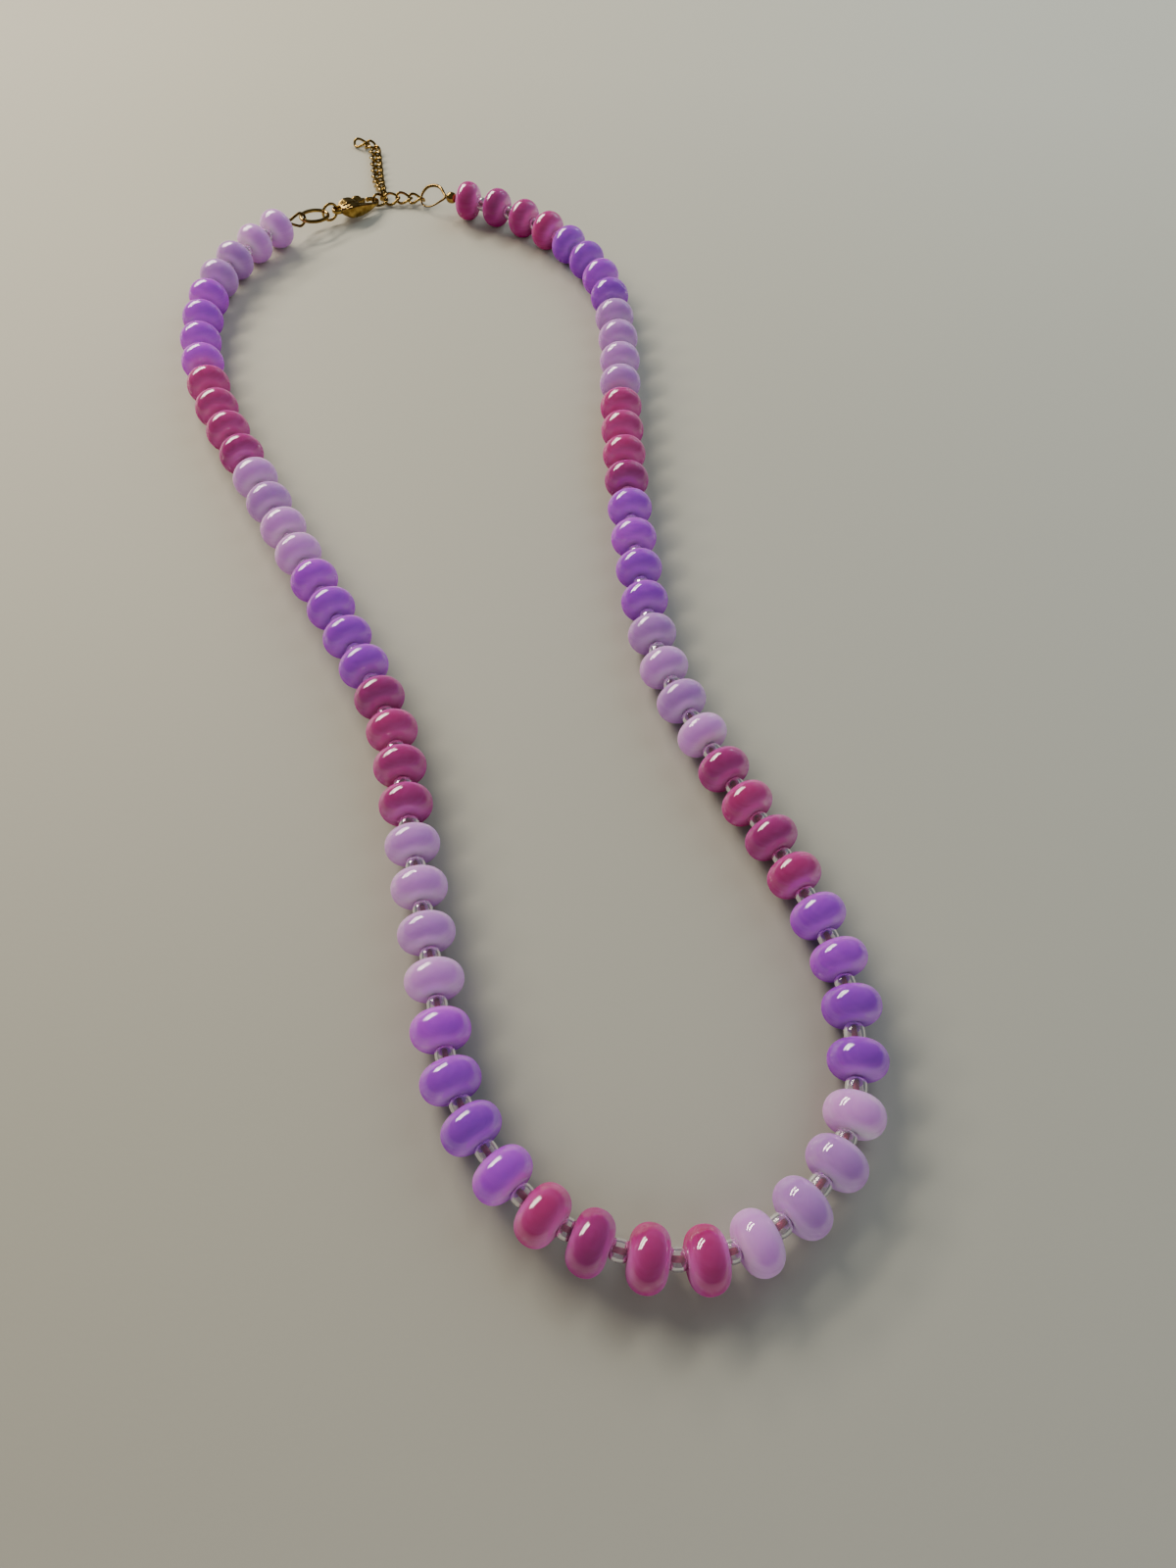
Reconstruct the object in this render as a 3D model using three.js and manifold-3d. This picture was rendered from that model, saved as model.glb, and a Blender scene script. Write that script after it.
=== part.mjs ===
// A beaded necklace lying closed on a table. 72 stone rondelles with small spacers between them
// form the strand. At its back a lobster clasp, hung from a jump ring, is hooked into the
// extender chain that hangs from a wire loop at the strand's other end.
// Millimetres, +Z up, the table at z = 0, the front of the necklace towards -Y.
import * as THREE from 'three';
import { mergeVertices } from 'three/addons/utils/BufferGeometryUtils.js';
import Module from 'manifold-3d';

const wasm = await Module();
wasm.setup();

// Clearance between pieces that touch or pass through each other
const GAP = 0.3;

// The strand
const BEAD_COUNT = 72;
const BEAD_DIAMETER = 8;
const BEAD_THICKNESS = 5;
const SPACER_DIAMETER = 3;
const STRAND_SIDES = 12;

// Wire loops, rings and the crimp
const RING_SIDES = 14;
const WIRE_SIDES = 6;
const GUARDIAN_LENGTH = 5.2;
const GUARDIAN_WIDTH = 3.4;
const GUARDIAN_WIRE = 0.6;
const JUMP_RING_LENGTH = 7.2;
const JUMP_RING_WIDTH = 5.6;
const JUMP_RING_WIRE = 0.8;
const CLASP_RING_DIAMETER = 4.2;
const CLASP_RING_WIRE = 0.6;
const END_LOOP_WIDTH = 5.8;
const END_LOOP_WIRE = 0.6;
const CRIMP_DIAMETER = 2.4;

// The extender chain
const LINK_LENGTH = 4.15;
const LINK_WIDTH = 3.1;
const LINK_WIRE = 0.5;
const LINK_ROUNDNESS = 2.4;
const LINK_QUARTER = 45;

// The lobster clasp: u runs from its eyelet to its tip, v towards its gate, w upwards
const CLASP_LENGTH = 12;
const CLASP_BACK = 2.7;
const CLASP_SHOULDER = 2.1;
const CLASP_THICKNESS = 2.6;
const EYELET_THICKNESS = 0.9;
const EYELET_HOLE = 1.5;
const EYELET_WALL = 0.6;
const HOOK_THICKNESS = 0.8;
const HOOK_BAR = 0.85;
const HOOK_REACH = 0.85;
const HOOK_FROM = -75;
const HOOK_TO = 95;
const NOSE = 0.7;
const NECK_AT = 1.9;
const NECK_MARGIN = 0.2;
const CHAMFER = 0.2;
const SLOT_LENGTH = 4.1;
const PIN_SUNK = 0.3;
const HUB_WALL = 0.5;
const PIN_RADIUS = 0.4;
const PIN_AT = [4.5, 0.8];
const LEVER_THICKNESS = 0.9;
const THUMB_HEIGHT = 3;
const THUMB_AT = 7.5;
const THUMB_PAD = [1.4, 0.9, 1];

// Where things lie, as headings, slopes and rolls in degrees
const CLASP_HEADING = 41.9;
const CLASP_SLOPE = -6;
const HOOK_ROLL = 42;
const HOOKED_LINK_ROLL = 47;
const HELD_LINKS = [
  { heading: 12, slope: 5, roll: 30 },
  { heading: 8, slope: -3, roll: 14 },
  { heading: -6, slope: 0, roll: -10 },
];
const TAIL_HEADING = 105;
const TAIL_ROLLS = [68, 38, 18, 5];
const END_LOOP_LEAN = 28;

// The end loop's outline, as shares of its length and of its width, and how far to its near
// side the chain holds it
const END_LOOP_OUTLINE = [
  [0, 0], [0.13, 0.2], [0.34, 0.42], [0.62, 0.5], [0.88, 0.4], [1, 0.14],
  [1, -0.14], [0.9, -0.36], [0.68, -0.5], [0.42, -0.45], [0.19, -0.25],
];
const END_LOOP_HELD = 0.2;

// The strand's route, seen from above. Every bead sits at an even step of the curve's parameter
// between the second point and the last but one. The first and last points only set the way in
// which the strand ends.
const STRAND_ROUTE = [
  [-37.9, 96.8], [-51.5, 81.8], [-59.5, 62.6], [-58.4, 41.8], [-50.8, 22.1], [-39.8, 3.9],
  [-28.8, -13.8], [-17.6, -31.2], [-7.6, -48.8], [-1.7, -68], [3.9, -88], [10, -107.2],
  [24, -120.8], [43.4, -122.2], [57.8, -108.5], [59.5, -88], [52.2, -69.4], [42.6, -52.2],
  [33.8, -33.3], [29.7, -12.1], [27.1, 9.4], [25.5, 29.5], [24.2, 50.4], [19.7, 71],
  [7.3, 87.3], [-11.2, 97.3], [-32.6, 94.6],
];

// The free tail's route after its first link, whose start takes the place of the first point
const TAIL_ROUTE = [
  [-32.4, 104.4, 1.35], [-33.7, 108.2, 0.98], [-34.8, 113.2, 0.84], [-35.9, 118.4, 0.9],
  [-36.7, 122.1, 0.9], [-37.5, 124.4, 0.9], [-39.6, 125.6, 0.9], [-43.9, 125.4, 0.9],
];

const UP = new THREE.Vector3(0, 0, 1);
const CRIMP_ROWS = 8;

const MATERIALS = {
  stone: new THREE.MeshStandardMaterial({ color: 0x9a6bb8, roughness: 0.18, metalness: 0 }),
  gold: new THREE.MeshStandardMaterial({ color: 0xa98442, roughness: 0.3, metalness: 1 }),
};

const group = new THREE.Group();

function addPiece(name, geometry, material, parent = group) {
  const mesh = new THREE.Mesh(geometry, MATERIALS[material]);
  mesh.name = name;
  parent.add(mesh);
  return mesh;
}

function direction(headingDegrees, slopeDegrees) {
  const heading = THREE.MathUtils.degToRad(headingDegrees);
  const slope = THREE.MathUtils.degToRad(slopeDegrees);
  const level = Math.cos(slope);
  return new THREE.Vector3(Math.cos(heading) * level, Math.sin(heading) * level, Math.sin(slope));
}

function along(start, way, distance) {
  return start.clone().addScaledVector(way, distance);
}

// Places an object at a point with its x axis along a direction and its y axis level
function place(object, point, way) {
  const left = UP.clone().cross(way).normalize();
  const above = way.clone().cross(left).normalize();
  object.position.copy(point);
  object.quaternion.setFromRotationMatrix(new THREE.Matrix4().makeBasis(way, left, above));
}

// Solids that can be joined and cut
function solid(geometry) {
  const bare = geometry.clone();
  bare.deleteAttribute('normal');
  bare.deleteAttribute('uv');
  const merged = mergeVertices(bare);
  return new wasm.Manifold(new wasm.Mesh({
    numProp: 3,
    vertProperties: new Float32Array(merged.getAttribute('position').array),
    triVerts: new Uint32Array(merged.getIndex().array),
  }));
}

function geometryOf(manifold) {
  const mesh = manifold.getMesh();
  const geometry = new THREE.BufferGeometry();
  geometry.setAttribute('position', new THREE.BufferAttribute(mesh.vertProperties, mesh.numProp));
  geometry.setIndex(new THREE.BufferAttribute(mesh.triVerts, 1));
  return geometry;
}

// The strand's beads: where each one sits and the way its hole runs
const routeCurve = new THREE.CatmullRomCurve3(
  STRAND_ROUTE.map(([x, y]) => new THREE.Vector3(x, y, BEAD_DIAMETER / 2)),
  false,
  'catmullrom',
  0.5,
);

function beadSeat(index) {
  const spans = STRAND_ROUTE.length - 1;
  const share = index / (BEAD_COUNT - 1);
  const u = (1 + share * (spans - 2)) / spans;
  return { centre: routeCurve.getPoint(u), way: routeCurve.getTangent(u) };
}

// Half of a rondelle's outline, as shares of its half thickness and of its radius
const BEAD_OUTLINE = [
  { across: 0.74, out: 0.78 },
  { across: 0.28, out: 1 },
];
// Where the rondelle meets its spacer, as a share of its half thickness
const BEAD_FACE = 0.96;

// The polygon of a strand section stands outside the circle that it rounds, so that a flat side
// lies on the table
const POLYGON_GROWTH = 1 / Math.cos(Math.PI / STRAND_SIDES);

function beadSections() {
  const half = BEAD_THICKNESS / 2;
  const spacer = { across: BEAD_FACE * half, out: (SPACER_DIAMETER / 2) * POLYGON_GROWTH };
  const rising = [spacer].concat(BEAD_OUTLINE.map(({ across, out }) => ({
    across: across * half,
    out: out * (BEAD_DIAMETER / 2) * POLYGON_GROWTH,
  })));
  const before = rising.map(({ across, out }) => ({ across: -across, out }));
  return before.concat(rising.reverse());
}

// One stretch of the strand: a profile turned round a straight axis, then laid bead by bead
// along the route. The spacers are the narrow necks between the beads.
function strandStretch(first, last, meetsNext) {
  const step = 2 * BEAD_THICKNESS;
  const sections = beadSections();
  const profile = [];
  for (let bead = first; bead <= last; bead += 1) {
    const at = (bead - first) * step;
    sections.forEach(({ across, out }) => profile.push(new THREE.Vector2(out, at + across)));
  }
  const neck = sections[0];
  if (meetsNext) {
    profile.push(new THREE.Vector2(neck.out, (last + 1 - first) * step + neck.across - GAP));
  }
  const end = profile[profile.length - 1];
  profile.unshift(new THREE.Vector2(0, neck.across));
  profile.push(new THREE.Vector2(0, end.y));
  const geometry = new THREE.LatheGeometry(profile, STRAND_SIDES, Math.PI / STRAND_SIDES);
  const positions = geometry.getAttribute('position');
  const point = new THREE.Vector3();
  for (let i = 0; i < positions.count; i += 1) {
    point.fromBufferAttribute(positions, i);
    const bead = first + Math.round(point.y / step);
    const { centre, way } = beadSeat(bead);
    const side = way.clone().cross(UP).normalize();
    const laid = along(centre, way, point.y - (bead - first) * step);
    laid.addScaledVector(side, point.x).addScaledVector(UP, point.z);
    positions.setXYZ(i, laid.x, laid.y, laid.z);
  }
  return geometry;
}

const lastLeft = BEAD_COUNT / 2 - 1;
addPiece('bead_string_left', strandStretch(0, lastLeft, true), 'stone');
addPiece('bead_string_right', strandStretch(lastLeft + 1, BEAD_COUNT - 1, false), 'stone');

// Wire bent into a closed loop round the given centres: a torus whose rings are moved to them
function wireLoop(centres, wire) {
  const count = centres.length;
  const geometry = new THREE.TorusGeometry(count, wire / 2, WIRE_SIDES, count);
  const positions = geometry.getAttribute('position');
  const middle = centres.reduce((sum, centre) => sum.add(centre), new THREE.Vector3());
  middle.divideScalar(count);
  for (let i = 0; i < positions.count; i += 1) {
    const [x, y, z] = [positions.getX(i), positions.getY(i), positions.getZ(i)];
    const ring = Math.round((Math.atan2(y, x) / (2 * Math.PI)) * count) + count;
    const centre = centres[ring % count];
    const way = centres[(ring + 1) % count].clone().sub(centres[(ring - 1) % count]).normalize();
    const outward = centre.clone().sub(middle);
    outward.addScaledVector(way, -outward.dot(way)).normalize();
    const across = outward.clone().cross(way);
    const laid = along(centre, outward, Math.hypot(x, y) - count).addScaledVector(across, z);
    positions.setXYZ(i, laid.x, laid.y, laid.z);
  }
  return geometry;
}

// Centres at even distances along a closed curve through the given points
function evenly(points, count) {
  return new THREE.CatmullRomCurve3(points, true).getSpacedPoints(count).slice(0, count);
}

// A rounded oval in the x-y plane, given by its outer size. The roll turns its width round the
// x axis, from one end to the other, which twists a curb link.
function ovalPoints(length, width, wire, { roundness = 2, startRoll = 0, endRoll = 0 } = {}) {
  const reach = (length - wire) / 2;
  const half = (width - wire) / 2;
  const power = 2 / roundness;
  return Array.from({ length: RING_SIDES }, (_, i) => {
    const turn = (2 * Math.PI * i) / RING_SIDES;
    const x = reach * Math.sign(Math.cos(turn)) * Math.abs(Math.cos(turn)) ** power;
    const across = half * Math.sign(Math.sin(turn)) * Math.abs(Math.sin(turn)) ** power;
    const share = (x / reach + 1) / 2;
    const roll = THREE.MathUtils.degToRad(startRoll + (endRoll - startRoll) * share);
    return new THREE.Vector3(x, across * Math.cos(roll), across * Math.sin(roll));
  });
}

// The clasp side: a straight line of hardware from the hole of the first bead
const firstBead = beadSeat(0);
const claspWay = direction(CLASP_HEADING, CLASP_SLOPE);
const claspSideStart = along(firstBead.centre, firstBead.way, -BEAD_THICKNESS / 2);

// A folded wire guardian, standing on edge, as shares of its length and width
const GUARDIAN_OUTLINE = [
  [0, 0.1], [0.2, 0.17], [0.45, 0.36], [0.72, 0.5], [0.93, 0.3],
  [1, 0], [0.93, -0.3], [0.72, -0.5], [0.45, -0.36], [0.2, -0.17], [0, -0.1],
];

function guardianPoints() {
  const length = GUARDIAN_LENGTH - GUARDIAN_WIRE;
  const width = GUARDIAN_WIDTH - GUARDIAN_WIRE;
  return GUARDIAN_OUTLINE.map(([x, z]) => (
    new THREE.Vector3(GUARDIAN_WIRE / 2 + x * length, 0, z * width)
  ));
}

const guardianStart = GAP;
const guardianCentres = evenly(guardianPoints(), RING_SIDES);
const guardian = addPiece('wire_guardian_left', wireLoop(guardianCentres, GUARDIAN_WIRE), 'gold');
place(guardian, along(claspSideStart, claspWay, guardianStart), claspWay);

const jumpRingStart = guardianStart + GUARDIAN_LENGTH - GUARDIAN_WIRE - GAP - JUMP_RING_WIRE;
const jumpRing = addPiece(
  'jump_ring',
  wireLoop(ovalPoints(JUMP_RING_LENGTH, JUMP_RING_WIDTH, JUMP_RING_WIRE), JUMP_RING_WIRE),
  'gold',
);
place(jumpRing, along(claspSideStart, claspWay, jumpRingStart + JUMP_RING_LENGTH / 2), claspWay);

const claspRingStart = jumpRingStart + JUMP_RING_LENGTH - JUMP_RING_WIRE - GAP
  - CLASP_RING_WIRE;
const claspRingOval = ovalPoints(CLASP_RING_DIAMETER, CLASP_RING_DIAMETER, CLASP_RING_WIRE, {
  startRoll: 90,
  endRoll: 90,
});
const claspRing = addPiece('clasp_ring', wireLoop(claspRingOval, CLASP_RING_WIRE), 'gold');
const claspRingMiddle = claspRingStart + CLASP_RING_DIAMETER / 2;
place(claspRing, along(claspSideStart, claspWay, claspRingMiddle), claspWay);

// The clasp, in its own group
const ringWireInEyelet = EYELET_WALL + GAP + CLASP_RING_WIRE / 2;
const claspStart = claspRingStart + CLASP_RING_DIAMETER - CLASP_RING_WIRE / 2 - ringWireInEyelet;
const clasp = new THREE.Group();
place(clasp, along(claspSideStart, claspWay, claspStart), claspWay);
group.add(clasp);

const hookOuter = HOOK_REACH + HOOK_BAR;
const hookCentre = CLASP_LENGTH - hookOuter;
const hookStart = THREE.MathUtils.degToRad(HOOK_FROM);
const hookEnd = THREE.MathUtils.degToRad(HOOK_TO);
const noseEnd = hookCentre - NOSE;
const leverHub = PIN_RADIUS + GAP + HUB_WALL;
const slotHalf = LEVER_THICKNESS / 2 + GAP;
const CURVE_STEPS = 5;

function claspOutline() {
  const outline = new THREE.Shape();
  const neck = EYELET_THICKNESS / 2 + NECK_MARGIN;
  const throat = PIN_AT[0] + leverHub + GAP;
  outline.moveTo(NECK_AT, -neck);
  outline.quadraticCurveTo(2.4, -CLASP_BACK, PIN_AT[0], -CLASP_BACK);
  outline.quadraticCurveTo(
    hookCentre - 2.2,
    -CLASP_BACK,
    hookCentre + hookOuter * Math.cos(hookStart),
    hookOuter * Math.sin(hookStart),
  );
  outline.absarc(hookCentre, 0, hookOuter, hookStart, hookEnd, false);
  outline.lineTo(noseEnd, hookOuter);
  outline.lineTo(noseEnd, HOOK_REACH);
  outline.absarc(hookCentre, 0, HOOK_REACH, hookEnd, hookStart, true);
  outline.quadraticCurveTo(hookCentre - 1.4, -HOOK_REACH - 0.6, throat + 0.7, -HOOK_REACH - 0.4);
  outline.quadraticCurveTo(throat, -HOOK_REACH - 0.3, throat, -0.1);
  outline.lineTo(throat - 0.2, PIN_AT[1] + 0.7);
  outline.quadraticCurveTo(throat - 0.4, CLASP_SHOULDER, PIN_AT[0] - 0.2, CLASP_SHOULDER);
  outline.quadraticCurveTo(2.5, CLASP_SHOULDER, NECK_AT, neck);
  return outline;
}

// The clasp's side view: thin at the eyelet, thickest at the lever's pin, thin again at the hook
function claspSideView() {
  const deep = CLASP_THICKNESS / 2;
  const shape = new THREE.Shape();
  const upper = [
    [1.2, EYELET_THICKNESS / 2], [2.6, deep * 0.75], [4, deep], [5.8, deep],
    [8, deep * 0.72], [hookCentre, HOOK_THICKNESS / 2], [CLASP_LENGTH + 1, HOOK_THICKNESS / 2],
  ];
  const lower = upper.map(([u, w]) => [u, -w]).reverse();
  shape.setFromPoints(upper.concat(lower).map(([u, w]) => new THREE.Vector2(u, w)));
  return shape;
}

function plate(shape, thickness) {
  const geometry = new THREE.ExtrudeGeometry(shape, {
    depth: thickness,
    bevelEnabled: false,
    curveSegments: CURVE_STEPS,
  });
  return geometry.translate(0, 0, -thickness / 2);
}

function disc(radius, thickness, u, v, sides = STRAND_SIDES) {
  const geometry = new THREE.CylinderGeometry(radius, radius, thickness, sides);
  return geometry.rotateX(Math.PI / 2).translate(u, v, 0);
}

function claspBodyGeometry() {
  const reach = 2 * CLASP_LENGTH;
  const sideView = new THREE.ExtrudeGeometry(claspSideView(), { depth: reach, bevelEnabled: false });
  sideView.translate(0, 0, -reach / 2).rotateX(Math.PI / 2);
  const slotWidth = THUMB_HEIGHT - PIN_AT[1] + leverHub + GAP;
  const slot = new THREE.BoxGeometry(SLOT_LENGTH, slotWidth, 2 * slotHalf).translate(
    PIN_AT[0] - leverHub - GAP + SLOT_LENGTH / 2,
    PIN_AT[1] - leverHub - GAP + slotWidth / 2,
    0,
  );
  const eyeletRadius = EYELET_HOLE / 2 + EYELET_WALL;
  const pinLength = CLASP_THICKNESS - PIN_SUNK;
  return geometryOf(
    solid(plate(claspOutline(), CLASP_THICKNESS))
      .intersect(solid(sideView))
      .subtract(solid(slot))
      .add(solid(disc(PIN_RADIUS, pinLength, ...PIN_AT)))
      .add(solid(disc(eyeletRadius, EYELET_THICKNESS, eyeletRadius, 0)))
      .subtract(solid(disc(EYELET_HOLE / 2, CLASP_THICKNESS, eyeletRadius, 0))),
  );
}

// The lever: a hub round the pin, an arm that shuts the gate against the nose, and a thumb pad
function leverOutline() {
  const tip = noseEnd - GAP;
  const outline = new THREE.Shape();
  outline.moveTo(PIN_AT[0], PIN_AT[1] - leverHub / 2);
  outline.lineTo(tip - CHAMFER, HOOK_REACH);
  outline.lineTo(tip, HOOK_REACH + CHAMFER);
  outline.lineTo(tip, hookOuter - CHAMFER);
  outline.lineTo(tip - CHAMFER, hookOuter);
  outline.lineTo(THUMB_AT + THUMB_PAD[0] - 0.4, hookOuter);
  outline.quadraticCurveTo(THUMB_AT + 0.8, THUMB_HEIGHT - 0.2, THUMB_AT, THUMB_HEIGHT - 0.2);
  outline.quadraticCurveTo(THUMB_AT - 0.8, THUMB_HEIGHT - 0.3, PIN_AT[0], PIN_AT[1] + leverHub);
  return outline;
}

function leverGeometry() {
  const pad = new THREE.SphereGeometry(1, 12, 8).scale(...THUMB_PAD);
  pad.translate(THUMB_AT, THUMB_HEIGHT - THUMB_PAD[1], 0);
  return geometryOf(
    solid(plate(leverOutline(), LEVER_THICKNESS))
      .add(solid(disc(leverHub, LEVER_THICKNESS, ...PIN_AT)))
      .add(solid(pad))
      .subtract(solid(disc(PIN_RADIUS + GAP, CLASP_THICKNESS, ...PIN_AT))),
  );
}

addPiece('clasp_body', claspBodyGeometry(), 'gold', clasp);
addPiece('clasp_lever', leverGeometry(), 'gold', clasp);

// The chain's links are twisted, so that each crosses the next one squarely. The rolls are those
// of the chain's flat sides at a link's two ends.
const linkReach = (LINK_LENGTH - LINK_WIRE) / 2;
const linkPitch = 2 * linkReach - LINK_WIRE - GAP;

function addLink(name, centre, way, rollBefore, rollAfter) {
  const points = ovalPoints(LINK_LENGTH, LINK_WIDTH, LINK_WIRE, {
    roundness: LINK_ROUNDNESS,
    startRoll: rollBefore + LINK_QUARTER,
    endRoll: rollAfter - LINK_QUARTER,
  });
  place(addPiece(name, wireLoop(points, LINK_WIRE), 'gold'), centre, way);
}

// The hooked link lies in line with the clasp. Its inner end passes round the hook's bar.
const hookPoint = along(clasp.position, claspWay, hookCentre);
const firstWire = HOOK_REACH - GAP - LINK_WIRE / 2;
const hookedLink = along(hookPoint, claspWay, firstWire + linkReach);
addLink('chain_link_1', hookedLink, claspWay, HOOK_ROLL, HOOKED_LINK_ROLL);

// Where a link that leaves the hooked link on a heading meets its oval outer end
function leaving({ heading }) {
  const turn = THREE.MathUtils.degToRad(heading - CLASP_HEADING);
  const linkHalf = (LINK_WIDTH - LINK_WIRE) / 2;
  const steepness = (Math.abs(Math.tan(turn)) * linkHalf) / linkReach;
  const ratio = steepness ** (1 / (LINK_ROUNDNESS - 1));
  const share = (1 + ratio ** LINK_ROUNDNESS) ** (-1 / LINK_ROUNDNESS);
  const aside = Math.sign(turn) * ratio * share * linkHalf;
  const twist = HOOKED_LINK_ROLL - HOOK_ROLL - 2 * LINK_QUARTER;
  const roll = HOOK_ROLL + LINK_QUARTER + (twist * (1 + share)) / 2;
  const left = UP.clone().cross(claspWay).normalize();
  const above = claspWay.clone().cross(left);
  return along(hookedLink, claspWay, share * linkReach)
    .addScaledVector(left, aside * Math.cos(THREE.MathUtils.degToRad(roll)))
    .addScaledVector(above, aside * Math.sin(THREE.MathUtils.degToRad(roll)))
    .addScaledVector(direction(heading, 0), -(LINK_WIRE + GAP) / 2);
}

// The links between the hooked link and the end loop
const heldWays = HELD_LINKS.map(({ heading, slope }) => direction(heading, slope));
const chainEnd = leaving(HELD_LINKS[0]);
heldWays.forEach((way, i) => {
  const centre = along(chainEnd, way, linkPitch / 2);
  const rollBefore = i > 0 ? HELD_LINKS[i - 1].roll : HOOKED_LINK_ROLL;
  addLink(`chain_link_${i + 2}`, centre, way, rollBefore, HELD_LINKS[i].roll);
  chainEnd.addScaledVector(way, linkPitch);
});
const chainWay = heldWays[heldWays.length - 1];

// The free tail leaves the same link towards the back and lies down on the table
const tailStart = leaving({ heading: TAIL_HEADING });
const tailCurve = new THREE.CatmullRomCurve3(
  [tailStart].concat(TAIL_ROUTE.map(([x, y, z]) => new THREE.Vector3(x, y, z))),
);
const tailLength = tailCurve.getLength();
const tailLinks = Math.floor(tailLength / linkPitch);
for (let i = 0; i < tailLinks; i += 1) {
  const from = tailCurve.getPointAt((i * linkPitch) / tailLength);
  const to = tailCurve.getPointAt(((i + 1) * linkPitch) / tailLength);
  const way = to.clone().sub(from).normalize();
  const [rollBefore = 0, rollAfter = 0] = TAIL_ROLLS.slice(i);
  const centre = from.clone().add(to).multiplyScalar(0.5);
  addLink(`chain_tail_${i + 1}`, centre, way, rollBefore, rollAfter);
}

// The end loop: a big wire loop between the last held link and the crimp beside the last bead
const lastBead = beadSeat(BEAD_COUNT - 1);
const crimpPoint = along(
  lastBead.centre,
  lastBead.way,
  BEAD_THICKNESS / 2 + GAP + CRIMP_DIAMETER / 2,
);
const loopFar = along(chainEnd, chainWay, LINK_WIRE / 2 - (GAP + END_LOOP_WIRE) / 2);
const loopLean = THREE.MathUtils.degToRad(END_LOOP_LEAN);
const loopRise = new THREE.Vector3(0, Math.cos(loopLean), Math.sin(loopLean));
const loopSpan = END_LOOP_WIDTH - END_LOOP_WIRE;
const loopTip = along(loopFar, loopRise, END_LOOP_HELD * loopSpan);
const loopWay = loopTip.clone().sub(crimpPoint).normalize();
const loopNear = along(crimpPoint, loopWay, CRIMP_DIAMETER / 2 + GAP + END_LOOP_WIRE / 2);
loopRise.addScaledVector(loopWay, -loopRise.dot(loopWay)).normalize();
const loopLength = loopTip.distanceTo(loopNear);
const loopPoints = END_LOOP_OUTLINE.map(([onward, across]) => (
  along(loopNear, loopWay, onward * loopLength).addScaledVector(loopRise, across * loopSpan)
));
addPiece('end_loop_right', wireLoop(evenly(loopPoints, RING_SIDES), END_LOOP_WIRE), 'gold');

const crimp = new THREE.SphereGeometry(CRIMP_DIAMETER / 2, STRAND_SIDES, CRIMP_ROWS);
addPiece('crimp_right', crimp, 'gold').position.copy(crimpPoint);

// The origin is on the table under the middle of the whole necklace
const extent = new THREE.Box3().setFromObject(group, true);
const middle = extent.getCenter(new THREE.Vector3());
group.position.set(-middle.x, -middle.y, -extent.min.z);

export default group;
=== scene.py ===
"""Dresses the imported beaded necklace: stone rondelles, seed beads, thread, wire, clasp and chain."""
import math

import bpy
import numpy as np
from bpy.props import FloatProperty, FloatVectorProperty, IntProperty, PointerProperty
from bpy.types import Operator, Panel, PropertyGroup
from mathutils import Matrix, Vector


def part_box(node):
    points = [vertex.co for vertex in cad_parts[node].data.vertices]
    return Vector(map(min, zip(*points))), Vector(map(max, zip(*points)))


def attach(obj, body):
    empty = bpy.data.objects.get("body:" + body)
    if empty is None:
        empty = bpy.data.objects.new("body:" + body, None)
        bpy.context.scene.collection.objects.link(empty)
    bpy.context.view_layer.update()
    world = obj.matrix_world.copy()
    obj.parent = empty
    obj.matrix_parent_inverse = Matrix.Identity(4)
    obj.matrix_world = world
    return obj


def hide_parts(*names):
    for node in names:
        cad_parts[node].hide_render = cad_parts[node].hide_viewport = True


bl_info = {
    "name": "Beaded necklace",
    "version": (1, 0, 0),
    "blender": (4, 5, 0),
    "location": "View3D > Sidebar > Necklace",
    "description": "Builds the looks of a beaded necklace over its packed frame",
    "category": "Object",
}

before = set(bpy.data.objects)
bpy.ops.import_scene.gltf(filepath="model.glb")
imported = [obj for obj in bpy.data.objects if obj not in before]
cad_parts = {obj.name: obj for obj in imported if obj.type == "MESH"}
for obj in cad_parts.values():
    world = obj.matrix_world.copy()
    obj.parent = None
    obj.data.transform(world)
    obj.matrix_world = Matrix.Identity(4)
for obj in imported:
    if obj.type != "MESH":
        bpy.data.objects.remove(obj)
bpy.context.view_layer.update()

MM = 0.001
UP = np.array([0.0, 0.0, 1.0])
BODY = "necklace"
LEVER_BODY = "lever"
# The frame's own centring of the part, in millimetres
SHIFT = np.array([-0.003, 0.103, 0.007])

# The strand as in the frame: millimetres, seen from above. Every bead sits at an even step of
# the curve's parameter between the second point and the last but one.
STRAND_ROUTE = np.array([
    [-37.9, 96.8], [-51.5, 81.8], [-59.5, 62.6], [-58.4, 41.8], [-50.8, 22.1], [-39.8, 3.9],
    [-28.8, -13.8], [-17.6, -31.2], [-7.6, -48.8], [-1.7, -68.0], [3.9, -88.0], [10.0, -107.2],
    [24.0, -120.8], [43.4, -122.2], [57.8, -108.5], [59.5, -88.0], [52.2, -69.4], [42.6, -52.2],
    [33.8, -33.3], [29.7, -12.1], [27.1, 9.4], [25.5, 29.5], [24.2, 50.4], [19.7, 71.0],
    [7.3, 87.3], [-11.2, 97.3], [-32.6, 94.6],
])
BEAD_COUNT = 72
GROUP = 4
# Steps in which each span of a closed wire's curve is drawn
SPAN_STEPS = 24
COLOURS = ("lilac", "violet", "magenta")


def unit(v):
    """A vector, or each row of an array of vectors, over its length."""
    v = np.asarray(v, dtype=float)
    return v / np.linalg.norm(v, axis=-1, keepdims=True)


def direction(heading, slope):
    """The unit vector with that heading in the table's plane and that slope above it, in degrees."""
    h, s = math.radians(heading), math.radians(slope)
    return np.array([math.cos(h) * math.cos(s), math.sin(h) * math.cos(s), math.sin(s)])


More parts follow.
